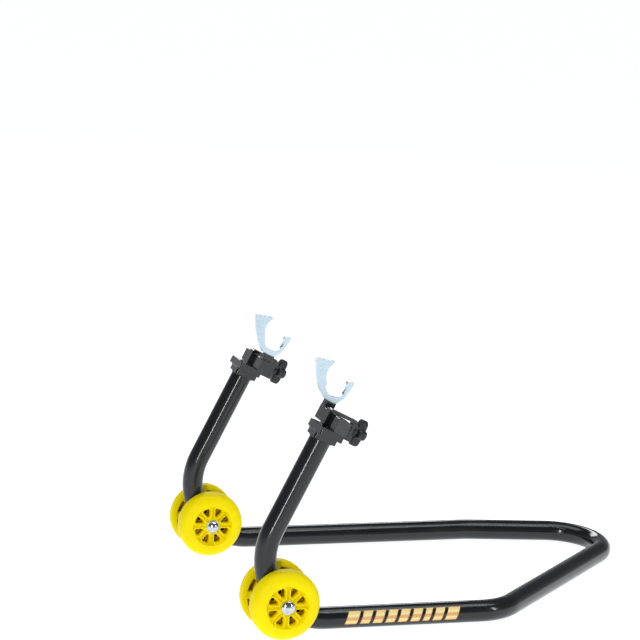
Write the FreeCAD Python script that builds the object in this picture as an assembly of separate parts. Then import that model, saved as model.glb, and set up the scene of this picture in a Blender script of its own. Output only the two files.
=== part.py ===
import FreeCAD
import Part
import math
import os

# Rear paddock stand.  X rearward, Y across, Z up.  Lengths in mm.
# Shapes are drawn with X = 0 at the wheel axle, Y = 0 in the middle plane and Z = 0 on
# the floor; save() moves them so that X = 0 is half-way along the whole stand.

MID_X = 298.88             # half-way along the stand, from the axle

# ---- tube frame ----
TUBE_OD = 31.75
TUBE_WALL = 2.0
ARM_PLANE = 194.0          # middle plane of each upright from the stand's middle
BEND_X = 69.0              # centre of the big lower bend
BEND_Z = 111.5
BEND_R = 93.0
LEAN = 25.3                # arm leans rearward from vertical, degrees
ARM_STRAIGHT = 142.89      # straight arm above the bend
JOINT_X = 72.0             # upright meets the hoop here
RAIL_TILT = 0.266          # hoop slopes down to the floor, degrees
LEFT_CORNER = (340.0, -192.5)
LEFT_CORNER_R = 85.0
FAR_CORNER = (721.0, 155.0)
FAR_CORNER_R = 73.0
RIGHT_KNEE = (440.0, 198.0)
RIGHT_KNEE_R = 150.0

# ---- wheels and axles ----
AXLE_Z = 50.0
WHEEL_R = 50.0
WHEEL_W = 24.0
WHEEL_BACK = 18.3          # wheel back face from the arm plane
SIDE_PLAY = 0.3            # wheel hub to washer
TREAD_FLAT = 10.0          # straight part of the tread, from the back face
BAND_R = 34.0              # crest of the rounded front band
BAND_IN = 31.0             # inner edge of the front band
BAND_IN_TOP = 23.6
SPOKE_FRONT = 22.0         # front face of the spokes, from the back face
SPOKE_END = 29.8           # where the spokes run into the band
HUB_R = 12.0
DISC_BACK = 2.0            # spokes' rear face stands in from the hub's
WALL_R = 32.5              # rear cup between the spoke ring and the tread ring
CUP_R = 41.0
CUP_TOP = 18.5
CUP_TOP_R = 36.0
CUP_SIDE_TOP = 12.5
SPOKES = 8
SPOKE_W = 6.4
POCKET_R = 29.2            # pocket between two spokes: outer and inner radius
POCKET_IN = 13.0
POCKET_CORNER = 3.6        # its outer and inner corners
POCKET_TIP = 1.2
POCKET_MID = 22.5
POCKET_TAPER = 0.015       # share of the pocket's size lost per mm of depth
SPOKE_GROOVE = 2.4         # groove along each spoke: width, start, length, depth
GROOVE_R = 13.5
GROOVE_LEN = 13.0
GROOVE_DEEP = 3.0
GUSSET_W = 11.0            # rear webs across the cup
GUSSET_LOW = 1.0
GUSSET_TOP = 17.0
OVERLAP = 1.0              # how far one shape is drawn into its neighbour before joining
BUSH_OD = 16.0
BUSH_ID = 12.1
AXLE_D = 12.0
SLEEVE_OD = 22.0
SLEEVE_HALF = 16.5
WASHER_T = 1.5
WASHER_OD = 20.0
HEAD_D = 20.5
HEAD_RIM = 2.0
HEAD_H = 6.4
NUT_AF = 18.0              # dome nut: hexagon, its height, dome rim and height
NUT_H = 4.2
NUT_RIM = 0.6
NUT_DOME_H = 5.4

# ---- arm head: n runs rearward across the arm, t runs up along it ----
HEAD_X = 43.0              # reference point on the arm axis
HEAD_Z = 273.0
PLATE = 35.5               # square plate on the arm
PLATE_CORNER = 4.0
PLATE_T0 = 8.0
PLATE_T1 = 16.5
BASE_N = 36.0              # block that carries the sliding bar
BASE_CORNER = 2.0
BASE_Y = 56.0
BASE_T1 = 27.0
BASE_Y_SHIFT = 3.0         # base stands a little outboard
BAR = 20.0                 # square sliding bar
BAR_WALL = 2.0
BAR_CORNER = 1.5
BAR_END_WALL = 3.0         # closed inner end
BAR_N0 = -2.0
BAR_GAP = 0.3              # sliding gap round the bar
BAR_OUT = 224.0            # outer end from the stand's middle
BAR_IN = 141.0
PLUG_T = 2.4               # flange of the end plug
PLUG_CORNER = 2.6
PLUG_STUB = 9.0
STRAP_Y0 = 181.0
STRAP_Y1 = 195.0
STRAP_T = 5.2              # bent strap over the bar
STRAP_REAR = 38.5
STRAP_FOOT = 6.0
STRAP_CORNER = 5.0
POST_N0 = -2.0             # square post under the hook
POST_N1 = 14.0
POST_TOP = 57.3
POST_Y = 14.0
POST_CORNER = 1.5
HOOK_Y = 148.0             # middle plane of the hook
HOOK_T = 8.0
TANG_WALL = 2.0            # post wall round the hook's tang
TANG_FLOOR = 1.5
FOOT_FRONT = -6.0          # hook's foot stands ahead of the post
KNOB_T = 37.5
KNOB_N0 = 38.9
KNOB_R = 20.0
KNOB_HUB_R = 8.0
KNOB_NECK_R = 10.0
KNOB_CORE_R = 11.0
KNOB_CROWN = 2.0           # rounding of the outer face
KNOB_LOBE_N = 4.2
KNOB_LOBE_H = 12.0
KNOB_LOBES = 4
KNOB_LOBE_R = 7.0
STUD_D = 8.0
STUD_HOLE = 8.1
STUD_GRIP = 10.0           # stud length inside the knob

V = FreeCAD.Vector
AX_X = V(1, 0, 0)
AX_Y = V(0, 1, 0)
AX_Z = V(0, 0, 1)
ORIGIN = V(0, 0, 0)
SIDES = {"left": -1.0, "right": 1.0}

os.makedirs("parts", exist_ok=True)


def save(name, shape):
    out = shape.copy()
    out.translate(V(-MID_X, 0, 0))
    out.exportStep("parts/" + name + ".step")


def cyl_y(radius, y0, y1, x=0.0, z=0.0):
    low = min(y0, y1)
    return Part.makeCylinder(radius, abs(y1 - y0), V(x, low, z), AX_Y)


def ring_y(outer, inner, y0, y1, x=0.0, z=0.0):
    return cyl_y(outer, y0, y1, x, z).cut(cyl_y(inner, y0, y1, x, z))


def sweep(wire, start, direction, radius):
    circle = Part.Wire(Part.makeCircle(radius, start, direction))
    return wire.makePipeShell([circle], True, False)


def tube(wire, start, direction):
    outer = sweep(wire, start, direction, TUBE_OD / 2)
    inner = sweep(wire, start, direction, TUBE_OD / 2 - TUBE_WALL)
    return outer.cut(inner)


# ---- arm-head frame ----
def head_point(n, y, t):
    a = math.radians(LEAN)
    x = HEAD_X + n * math.cos(a) + t * math.sin(a)
    z = HEAD_Z - n * math.sin(a) + t * math.cos(a)
    return V(x, y, z)


def lean_shape(shape):
    # shapes drawn with x = n, z = t are turned into place on the arm
    out = shape.copy()
    out.rotate(ORIGIN, AX_Y, LEAN)
    out.translate(V(HEAD_X, 0, HEAD_Z))
    return out


def head_box(n0, n1, y0, y1, t0, t1, fillet=0.0):
    low = min(y0, y1)
    box = Part.makeBox(n1 - n0, abs(y1 - y0), t1 - t0, V(n0, low, t0))
    if fillet > 0:
        box = box.makeFillet(fillet, box.Edges)
    return box


def along_y_edges(shape):
    found = []
    for edge in shape.Edges:
        if edge.Curve.TypeId != "Part::GeomLine":
            continue
        if abs(edge.tangentAt(edge.FirstParameter).y) > 0.99:
            found.append(edge)
    return found


def along_t_edges(box):
    # corner edges that run up along the arm
    return [e for e in box.Edges if abs(e.tangentAt(e.FirstParameter).z) > 0.99]


# ---- tube frame ----
def upright(side):
    y = side * ARM_PLANE
    tilt = math.radians(RAIL_TILT)
    turn = math.pi - math.radians(90 - LEAN) - tilt
    first = -math.pi / 2 - tilt
    centre = V(BEND_X, y, BEND_Z)

    def on_bend(angle):
        return centre + V(BEND_R * math.cos(angle), 0, BEND_R * math.sin(angle))

    low = on_bend(first)
    end = on_bend(first - turn)
    mid = on_bend(first - turn / 2)
    rail = V(JOINT_X, y, low.z - (JOINT_X - low.x) * math.tan(tilt))
    top = end + V(math.sin(math.radians(LEAN)), 0, math.cos(math.radians(LEAN))) * ARM_STRAIGHT
    edges = [
        Part.makeLine(rail, low),
        Part.Arc(low, mid, end).toShape(),
        Part.makeLine(end, top),
    ]
    shape = tube(Part.Wire(edges), rail, low - rail)
    return shape.cut(cyl_y(SLEEVE_OD / 2, y - TUBE_OD, y + TUBE_OD, 0.0, AXLE_Z))


def rounded_path(points, radii):
    edges = []
    start = points[0]
    for i in range(1, len(points) - 1):
        before = (points[i] - points[i - 1]).normalize()
        after = (points[i + 1] - points[i]).normalize()
        turn = before.getAngle(after)
        cut = radii[i - 1] * math.tan(turn / 2)
        t0 = points[i] - before * cut
        t1 = points[i] + after * cut
        inward = (after - before).normalize()
        centre = points[i] + inward * (radii[i - 1] / math.cos(turn / 2))
        mid = centre - inward * radii[i - 1]
        edges.append(Part.makeLine(start, t0))
        edges.append(Part.Arc(t0, mid, t1).toShape())
        start = t1
    edges.append(Part.makeLine(start, points[-1]))
    return Part.Wire(edges)


def hoop():
    tilt = math.radians(RAIL_TILT)
    rail_z = BEND_Z - BEND_R * math.cos(tilt) - (JOINT_X - BEND_X) * math.tan(tilt)
    points = [
        V(JOINT_X, -ARM_PLANE, rail_z),
        V(LEFT_CORNER[0], LEFT_CORNER[1], rail_z),
        V(FAR_CORNER[0], FAR_CORNER[1], rail_z),
        V(RIGHT_KNEE[0], RIGHT_KNEE[1], rail_z),
        V(JOINT_X, ARM_PLANE, rail_z),
    ]
    wire = rounded_path(points, [LEFT_CORNER_R, FAR_CORNER_R, RIGHT_KNEE_R])
    shape = tube(wire, points[0], points[1] - points[0])
    shape.rotate(V(JOINT_X, 0, rail_z), AX_Y, RAIL_TILT)
    return shape


def axle_sleeve(side):
    y = side * ARM_PLANE
    return ring_y(SLEEVE_OD / 2, AXLE_D / 2, y - SLEEVE_HALF, y + SLEEVE_HALF, 0.0, AXLE_Z)


# ---- wheel, back face at y = 0, front face at y = WHEEL_W ----
def wheel_rim():
    depth = WHEEL_W - TREAD_FLAT
    reach = WHEEL_R - BAND_R
    pts = []
    for i in range(9):
        a = math.radians(90.0 * i / 8)
        pts.append(V(BAND_R + reach * math.cos(a), TREAD_FLAT + depth * math.sin(a), 0))
    shoulder = Part.BSplineCurve()
    shoulder.interpolate(pts)
    edges = [
        Part.makeLine(V(WHEEL_R, 0, 0), pts[0]),
        shoulder.toShape(),
    ]
    corners = [
        pts[-1],
        V(BAND_IN, BAND_IN_TOP, 0),
        V(SPOKE_END, SPOKE_FRONT, 0),
        V(BUSH_OD / 2, SPOKE_FRONT, 0),
        V(BUSH_OD / 2, 0, 0),
        V(HUB_R, 0, 0),
        V(HUB_R, DISC_BACK, 0),
        V(WALL_R, DISC_BACK, 0),
        V(WALL_R, CUP_TOP, 0),
        V(CUP_TOP_R, CUP_TOP, 0),
        V(CUP_R, CUP_SIDE_TOP, 0),
        V(CUP_R, 0, 0),
        V(WHEEL_R, 0, 0),
    ]
    for a, b in zip(corners, corners[1:]):
        edges.append(Part.makeLine(a, b))
    face = Part.Face(Part.Wire(edges))
    return face.revolve(ORIGIN, AX_Y, 360)


def edges_near(shape, radius):
    found = []
    for edge in along_y_edges(shape):
        point = edge.valueAt(edge.FirstParameter)
        if abs(math.hypot(point.x, point.z) - radius) < 0.1:
            found.append(edge)
    return found


def pocket_wedge():
    # wedge between two spokes with rounded corners
    half = math.pi / SPOKES
    apex = SPOKE_W / 2 / math.sin(half)
    reach = 2 * POCKET_R
    side = reach * math.tan(half)
    corners = [V(apex, 0, 0), V(apex + reach, 0, side), V(apex + reach, 0, -side), V(apex, 0, 0)]
    wedge = Part.Face(Part.makePolygon(corners)).extrude(V(0, 1, 0))
    wedge = wedge.common(ring_y(POCKET_R, POCKET_IN, 0, 1))
    wedge = wedge.makeFillet(POCKET_CORNER, edges_near(wedge, POCKET_R))
    return wedge.makeFillet(POCKET_TIP, edges_near(wedge, POCKET_IN))


def wheel_pocket():
    # open right through, narrowing towards the back face
    base = [f for f in pocket_wedge().Faces if abs(f.CenterOfMass.y) < 0.01][0].OuterWire
    wires = []
    for y in (-OVERLAP, WHEEL_W + OVERLAP):
        wire = base.copy()
        wire.scale(1.0 - (SPOKE_FRONT - y) * POCKET_TAPER, V(POCKET_MID, 0, 0))
        wire.translate(V(0, y, 0))
        wires.append(wire)
    return Part.makeLoft(wires, True, True)


def around(shape, offset):
    copies = []
    for i in range(SPOKES):
        copy = shape.copy()
        copy.rotate(ORIGIN, AX_Y, 360.0 * (i + offset) / SPOKES)
        copies.append(copy)
    return copies


def wheel():
    web_start = V(WALL_R - OVERLAP, GUSSET_LOW, -GUSSET_W / 2)
    web_length = CUP_R - WALL_R + 2 * OVERLAP
    gusset = Part.makeBox(web_length, GUSSET_TOP - GUSSET_LOW, GUSSET_W, web_start)
    groove_start = V(GROOVE_R, SPOKE_FRONT - GROOVE_DEEP, -SPOKE_GROOVE / 2)
    groove = Part.makeBox(GROOVE_LEN, GROOVE_DEEP + OVERLAP, SPOKE_GROOVE, groove_start)
    body = wheel_rim().fuse(around(gusset, 0))
    body = body.cut(around(wheel_pocket(), 0.5))
    body = body.cut(around(groove, 0)).removeSplitter()
    return body.cut(cyl_y(BUSH_OD / 2, -OVERLAP, WHEEL_W + OVERLAP))


def place_wheel(shape, side, outer):
    facing = side if outer else -side
    out = shape.copy()
    if facing < 0:
        out.rotate(ORIGIN, AX_Z, 180)
    out.translate(V(0, side * ARM_PLANE + facing * WHEEL_BACK, AXLE_Z))
    return out


# ---- axle hardware ----
def dome(radius, rim, height):
    # low spherical cap on a short rim, base at y = 0
    cap = height - rim
    ball = (radius * radius + cap * cap) / (2 * cap)
    sphere = Part.makeSphere(ball, V(0, height - ball, 0))
    return sphere.common(cyl_y(radius, 0, height + 1))


def stack_out():
    # outer face of the outboard washer, from the arm plane
    return WHEEL_BACK + SPOKE_FRONT + SIDE_PLAY + WASHER_T


def axle_bolt(side):
    end = stack_out()
    shank = cyl_y(AXLE_D / 2, -end - NUT_H, end)
    head = dome(HEAD_D / 2, HEAD_RIM, HEAD_H)
    head.translate(V(0, end, 0))
    bolt = shank.fuse(head)
    if side < 0:
        bolt.rotate(ORIGIN, AX_Z, 180)
    bolt.translate(V(0, side * ARM_PLANE, AXLE_Z))
    return bolt


def axle_nut(side):
    end = stack_out()
    reach = NUT_AF / math.sqrt(3)
    points = []
    for i in range(7):
        a = math.radians(60 * i)
        points.append(V(reach * math.cos(a), 0, reach * math.sin(a)))
    nut = Part.Face(Part.makePolygon(points)).extrude(V(0, NUT_H, 0))
    cap = dome(NUT_AF / 2, NUT_RIM, NUT_DOME_H)
    cap.translate(V(0, NUT_H, 0))
    nut = nut.fuse(cap)
    nut = nut.cut(cyl_y(AXLE_D / 2, -OVERLAP, NUT_H))
    nut.translate(V(0, end, 0))
    if side > 0:
        nut.rotate(ORIGIN, AX_Z, 180)
    nut.translate(V(0, side * ARM_PLANE, AXLE_Z))
    return nut


def axle_washers(side):
    near = SLEEVE_HALF
    far = stack_out() - WASHER_T
    solids = []
    for y0 in (near, far, -near - WASHER_T, -far - WASHER_T):
        y = side * ARM_PLANE + y0
        solids.append(ring_y(WASHER_OD / 2, AXLE_D / 2, y, y + WASHER_T, 0.0, AXLE_Z))
    return Part.makeCompound(solids)


def wheel_bush():
    return ring_y(BUSH_OD / 2, BUSH_ID / 2, 0, SPOKE_FRONT)


# ---- arm head ----
def head_plate(side):
    y = side * ARM_PLANE
    box = head_box(-PLATE / 2, PLATE / 2, y - PLATE / 2, y + PLATE / 2, PLATE_T0, PLATE_T1)
    return lean_shape(box.makeFillet(PLATE_CORNER, along_t_edges(box)))


def saddle_base(side):
    mid = side * (ARM_PLANE + BASE_Y_SHIFT)
    box = head_box(-BASE_N / 2, BASE_N / 2, mid - BASE_Y / 2, mid + BASE_Y / 2, PLATE_T1, BASE_T1)
    return lean_shape(box.makeFillet(BASE_CORNER, along_t_edges(box)))


def bar_t0():
    return BASE_T1 + BAR_GAP


def knob_axis_y(side):
    return side * (STRAP_Y0 + STRAP_Y1) / 2


def clamp_strap(side):
    y0 = side * STRAP_Y0
    y1 = side * STRAP_Y1
    front = BAR_N0 - BAR_GAP - STRAP_T
    top = bar_t0() + BAR + BAR_GAP + STRAP_T
    low = BASE_T1 - STRAP_FOOT
    block = head_box(front, STRAP_REAR, y0, y1, low, top)
    corners = []
    for edge in along_y_edges(block):
        if edge.CenterOfMass.z > top - 1:
            corners.append(edge)
    block = block.makeFillet(STRAP_CORNER, corners)
    window = head_box(BAR_N0 - BAR_GAP, STRAP_REAR - STRAP_T, y0, y1, BASE_T1, top - STRAP_T)
    block = block.cut(window)
    block = block.cut(head_box(front - OVERLAP, BASE_N / 2, y0, y1, low - OVERLAP, BASE_T1))
    hole_start = V(STRAP_REAR - STRAP_T * 2, knob_axis_y(side), KNOB_T)
    hole = Part.makeCylinder(STUD_HOLE / 2, STRAP_T * 3, hole_start, AX_X)
    return lean_shape(block.cut(hole))


def bar_bore(y0, y1):
    # space inside the hollow bar between two places along it
    n0 = BAR_N0 + BAR_WALL
    t0 = bar_t0() + BAR_WALL
    inside = BAR - 2 * BAR_WALL
    return head_box(n0, n0 + inside, y0, y1, t0, t0 + inside)


def carriage_bar(side):
    y0 = side * BAR_IN
    y1 = side * BAR_OUT
    t0 = bar_t0()
    outer = head_box(BAR_N0, BAR_N0 + BAR, y0, y1, t0, t0 + BAR)
    outer = outer.makeFillet(BAR_CORNER, along_y_edges(outer))
    inner = bar_bore(side * (BAR_IN + BAR_END_WALL), y1 + side * OVERLAP)
    return lean_shape(outer.cut(inner))


def bar_plug(side):
    y0 = side * BAR_OUT
    y1 = side * (BAR_OUT + PLUG_T)
    t0 = bar_t0()
    flange = head_box(BAR_N0, BAR_N0 + BAR, y0, y1, t0, t0 + BAR)
    flange = flange.makeFillet(PLUG_CORNER, along_y_edges(flange))
    stub = bar_bore(side * (BAR_OUT - PLUG_STUB), y0)
    return lean_shape(flange.fuse(stub))


def tang_box(side):
    half = HOOK_T / 2
    y = side * HOOK_Y
    bottom = bar_t0() + BAR + TANG_FLOOR
    return head_box(POST_N0 + TANG_WALL, POST_N1 - TANG_WALL, y - half, y + half, bottom, POST_TOP)


def hook_post(side):
    y = side * HOOK_Y
    t0 = bar_t0() + BAR
    box = head_box(POST_N0, POST_N1, y - POST_Y / 2, y + POST_Y / 2, t0, POST_TOP)
    box = box.makeFillet(POST_CORNER, along_t_edges(box))
    return lean_shape(box.cut(tang_box(side)))


def hook_outline():
    # flat hook drawn in the X-Z plane: tall front tine with a beak, round seat, short rear tine
    top_left = V(46.6, 0, 386.0)
    tip_top = V(72.6, 0, 381.6)
    tip = V(75.4, 0, 379.4)
    tip_under = V(73.6, 0, 377.0)
    throat = V(64.2, 0, 363.5)
    seat_in = V(65.3, 0, 349.5)
    seat_low = V(80.0, 0, 329.1)
    seat_out = V(94.8, 0, 346.6)
    rear_in = V(96.2, 0, 350.6)
    rear_top = V(104.6, 0, 350.9)
    rear_out = V(106.0, 0, 346.4)
    rear_low = V(91.4, 0, 325.2)
    foot_rear = head_point(POST_N1, 0, POST_TOP)
    foot_front = head_point(FOOT_FRONT, 0, POST_TOP)
    front_mid = V(54.1, 0, 342.0)
    front_high = V(49.2, 0, 362.0)
    edges = [
        Part.makeLine(top_left, tip_top),
        Part.Arc(tip_top, tip, tip_under).toShape(),
        Part.Arc(tip_under, throat, seat_in).toShape(),
        Part.Arc(seat_in, seat_low, seat_out).toShape(),
        Part.makeLine(seat_out, rear_in),
        Part.makeLine(rear_in, rear_top),
        Part.makeLine(rear_top, rear_out),
        Part.makeLine(rear_out, rear_low),
        Part.makeLine(rear_low, foot_rear),
        Part.makeLine(foot_rear, foot_front),
        Part.makeLine(foot_front, front_mid),
        Part.makeLine(front_mid, front_high),
        Part.makeLine(front_high, top_left),
    ]
    return Part.Wire(edges)


def hook_plate(side):
    y = side * HOOK_Y - HOOK_T / 2
    plate = Part.Face(hook_outline()).extrude(V(0, HOOK_T, 0))
    plate.translate(V(0, y, 0))
    return plate.fuse(lean_shape(tang_box(side))).removeSplitter()


# ---- clamp knob, axis along n ----
def clamp_knob(side):
    lobe_n = KNOB_N0 + KNOB_LOBE_N
    body = Part.makeCone(KNOB_HUB_R, KNOB_NECK_R, KNOB_LOBE_N, V(KNOB_N0, 0, 0), AX_X)
    body = body.fuse(Part.makeCylinder(KNOB_CORE_R, KNOB_LOBE_H, V(lobe_n, 0, 0), AX_X))
    for i in range(KNOB_LOBES):
        a = 2 * math.pi * i / KNOB_LOBES
        reach = KNOB_R - KNOB_LOBE_R
        end = V(lobe_n, reach * math.sin(a), reach * math.cos(a))
        lobe = Part.makeCylinder(KNOB_LOBE_R, KNOB_LOBE_H, end, AX_X)
        rib = Part.makeBox(KNOB_LOBE_H, KNOB_LOBE_R * 2, reach, V(lobe_n, -KNOB_LOBE_R, 0))
        rib.rotate(V(lobe_n, 0, 0), AX_X, -math.degrees(a))
        body = body.fuse(lobe)
        body = body.fuse(rib)
    body = body.removeSplitter()
    crown = [e for e in body.Edges if abs(e.CenterOfMass.x - lobe_n - KNOB_LOBE_H) < 0.01]
    body = body.makeFillet(KNOB_CROWN, crown)
    body = body.cut(Part.makeCylinder(STUD_D / 2, STUD_GRIP, V(KNOB_N0, 0, 0), AX_X))
    body.translate(V(0, knob_axis_y(side), KNOB_T))
    return lean_shape(body)


def knob_stud(side):
    n0 = BAR_N0 + BAR + BAR_GAP
    length = KNOB_N0 + STUD_GRIP - n0
    stud = Part.makeCylinder(STUD_D / 2, length, V(n0, knob_axis_y(side), KNOB_T), AX_X)
    return lean_shape(stud)


save("hoop_tube", hoop())
one_wheel = wheel()
one_bush = wheel_bush()
for label, sign in SIDES.items():
    save("upright_" + label, upright(sign))
    save("axle_sleeve_" + label, axle_sleeve(sign))
    save("axle_bolt_" + label, axle_bolt(sign))
    save("axle_nut_" + label, axle_nut(sign))
    save("axle_washers_" + label, axle_washers(sign))
    save("head_plate_" + label, head_plate(sign))
    save("saddle_base_" + label, saddle_base(sign))
    save("clamp_strap_" + label, clamp_strap(sign))
    save("carriage_bar_" + label, carriage_bar(sign))
    save("bar_plug_" + label, bar_plug(sign))
    save("hook_post_" + label, hook_post(sign))
    save("hook_plate_" + label, hook_plate(sign))
    save("clamp_knob_" + label, clamp_knob(sign))
    save("knob_stud_" + label, knob_stud(sign))
    for place, is_outer in (("outer", True), ("inner", False)):
        name = label + "_" + place
        save("wheel_" + name, place_wheel(one_wheel, sign, is_outer))
        save("wheel_bush_" + name, place_wheel(one_bush, sign, is_outer))
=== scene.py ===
import math

import bmesh
import bpy
from mathutils import Matrix, Vector


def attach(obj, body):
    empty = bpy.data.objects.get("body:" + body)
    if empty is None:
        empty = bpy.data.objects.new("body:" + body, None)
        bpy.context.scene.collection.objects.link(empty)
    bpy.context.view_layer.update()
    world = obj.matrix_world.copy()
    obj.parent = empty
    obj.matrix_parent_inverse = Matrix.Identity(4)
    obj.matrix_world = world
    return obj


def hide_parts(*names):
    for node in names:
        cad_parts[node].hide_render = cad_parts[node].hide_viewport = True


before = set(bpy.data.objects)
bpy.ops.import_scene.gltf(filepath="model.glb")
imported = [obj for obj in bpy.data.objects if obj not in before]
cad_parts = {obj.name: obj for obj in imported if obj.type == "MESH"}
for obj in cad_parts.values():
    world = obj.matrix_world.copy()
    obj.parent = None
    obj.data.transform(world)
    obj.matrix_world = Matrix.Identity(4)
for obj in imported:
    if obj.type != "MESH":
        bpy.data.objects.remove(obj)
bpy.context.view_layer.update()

# Sizes below are in millimetres, measured from the wheel axle (X rearward), and are scaled
# and shifted to the row frame by place().
MM = 0.001
MID_X = 298.88                # half-way along the stand
SIDES = {"left": -1.0, "right": 1.0}
MERGE = 0.01                  # points nearer than this are one

# Frame tube: a leaning arm, a big bend, and the floor hoop's rail on each side.
TUBE_R = 15.875
ARM_Y = 194.0                 # middle plane of each arm
BEND = (69.0, 111.5)          # centre of the big bend, X and Z
BEND_R = 93.0
LEAN = math.radians(25.3)
ARM_STRAIGHT = 142.89
JOIN_X = 72.0                 # arm tube meets the hoop
TILT = math.radians(0.266)    # hoop slopes down to the floor
CORNERS = [((340.0, -192.5), 85.0), ((721.0, 155.0), 73.0), ((440.0, 198.0), 150.0)]
PATH_STEP = 20.0              # spacing of points along the hoop's straight runs
ARC_STEP = 4.0                # and round its bends

# Wheel: heights are counted from its back face, which is turned to the arm.
AXLE_Z = 50.0
WHEEL_R = 50.0
WHEEL_W = 24.0
WHEEL_BACK = 18.3             # back face from the arm's middle plane
TREAD_FLAT = 10.0
BAND_R = 34.0                 # crest of the front band
SPOKES = 8
SPOKE_HALF = 3.2
SPOKE_FRONT = 22.0            # top of the ribs round the pockets
VALLEY = 18.6                 # bottom of the groove along a spoke
DISC_BACK = 2.0
SPIDER_R = 32.0               # spokes' ring meets the band here, at this height
SPIDER_TOP = 23.88
BORE_R = 8.0
WALL_R = 32.5                 # rear cup: inner wall, outer wall, depth
CUP_R = 41.0
CUP_TOP = 18.5
POCKET_IN = 13.0
POCKET_OUT = 29.2
POCKET_TAPER = 0.015          # share of its size that a pocket loses per mm of depth
POCKET_CORNER = 3.6
POCKET_TIP = 1.2
RIB_EDGE = (1.2, 2.1)         # rib falls to the valley over this distance from the pocket
LIP = 0.5                     # rounding of the pockets' edges
LIP_WIDTH = 0.6
BAND_RISE = (28.6, 31.4)      # front face rises to the band between these radii
BOSS_EDGE = (11.4, 13.0)
BACK_BOSS_EDGE = (11.5, 12.6)
PAINTED_SHADE_R = 41.4               # painted shade darkens the colour inside this radius
PAINTED_SHADE_DEPTH = (4.6, 11.0)    # and grows over this depth

# Axle bolt: shank, domed head, and the height of its underside from the arm's middle plane.
AXLE_R = 6.0
AXLE_HEAD_R = 10.25
AXLE_HEAD_RIM = 2.0
AXLE_HEAD_H = 6.4
STACK = 42.1
NUT_REACH = 4.0

# Arm head: n runs rearward across the arm, t runs up along it.
HEAD = (43.0, 273.0)          # reference point on the arm's axis, X and Z
BASE_HALF = 18.2              # rear edge of the base block
BASE_TOP = 27.1
PLATE_HALF = 17.9
HOOK_Y = 148.0
HOOK_T = 8.0
POST = (-2.1, 14.1)           # post under the hook, along n
POST_TOP = 57.3
KNOB_Y = 188.0
KNOB_T = 37.5
KNOB_N0 = 38.9
KNOB_HUB = 8.0

# Stripes on the left rail: they cover this length, and s runs round the tube.
STRIPES_X = 98.0
STRIPES_LENGTH = 169.0
STRIPES_HALF = 9.2
STRIPES_TURN = math.radians(12.5)
STRIPES_SLANT = 0.36
STRIPE_WIDTHS = [17.0, 13.0, 13.0, 13.0, 13.0, 13.0, 9.0, 13.0, 17.0]


def place(p):
    """From drawing millimetres to the row frame in metres."""
    return Vector(((p[0] - MID_X) * MM, p[1] * MM, p[2] * MM))


def head(n, y, t):
    """Point given in the leaning arm head's own n, y, t."""
    x = HEAD[0] + n * math.cos(LEAN) + t * math.sin(LEAN)
    z = HEAD[1] - n * math.sin(LEAN) + t * math.cos(LEAN)
    return (x, y, z)


# ---------------------------------------------------------------- materials
def link(tree, a, b):
    tree.links.new(a, b)


def shader(name):
    mat = bpy.data.materials.new(name)
    mat.use_nodes = True
    tree = mat.node_tree
    tree.nodes.clear()
    out = tree.nodes.new("ShaderNodeOutputMaterial")
    bsdf = tree.nodes.new("ShaderNodeBsdfPrincipled")
    link(tree, bsdf.outputs["BSDF"], out.inputs["Surface"])
    return mat, tree, bsdf


def noise_at(tree, scale, detail, stretch=(1.0, 1.0, 1.0), seed=(0.0, 0.0, 0.0)):
    coord = tree.nodes.new("ShaderNodeTexCoord")
    mapping = tree.nodes.new("ShaderNodeMapping")
    mapping.inputs["Scale"].default_value = stretch
    mapping.inputs["Location"].default_value = seed
    noise = tree.nodes.new("ShaderNodeTexNoise")
    noise.inputs["Scale"].default_value = scale
    noise.inputs["Detail"].default_value = detail
    link(tree, coord.outputs["Object"], mapping.inputs["Vector"])
    link(tree, mapping.outputs["Vector"], noise.inputs["Vector"])
    return noise.outputs["Fac"]


def spread(tree, fac, low, high, start=0.3, end=0.7):
    """Maps start..end of a value to low..high."""
    node = tree.nodes.new("ShaderNodeMapRange")
    node.inputs["From Min"].default_value = start
    node.inputs["From Max"].default_value = end
    node.inputs["To Min"].default_value = low
    node.inputs["To Max"].default_value = high
    link(tree, fac, node.inputs["Value"])
    return node.outputs["Result"]


def two_tone(tree, fac, a, b, start=0.35, end=0.65):
    ramp = tree.nodes.new("ShaderNodeValToRGB")
    ramp.color_ramp.elements[0].position = start
    ramp.color_ramp.elements[0].color = (*a, 1.0)
    ramp.color_ramp.elements[1].position = end
    ramp.color_ramp.elements[1].color = (*b, 1.0)
    link(tree, fac, ramp.inputs["Fac"])
    return ramp.outputs["Color"]


def add_bump(tree, bsdf, fac, height, strength=1.0):
    node = tree.nodes.new("ShaderNodeBump")
    node.inputs["Distance"].default_value = height
    node.inputs["Strength"].default_value = strength
    link(tree, fac, node.inputs["Height"])
    link(tree, node.outputs["Normal"], bsdf.inputs["Normal"])


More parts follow.
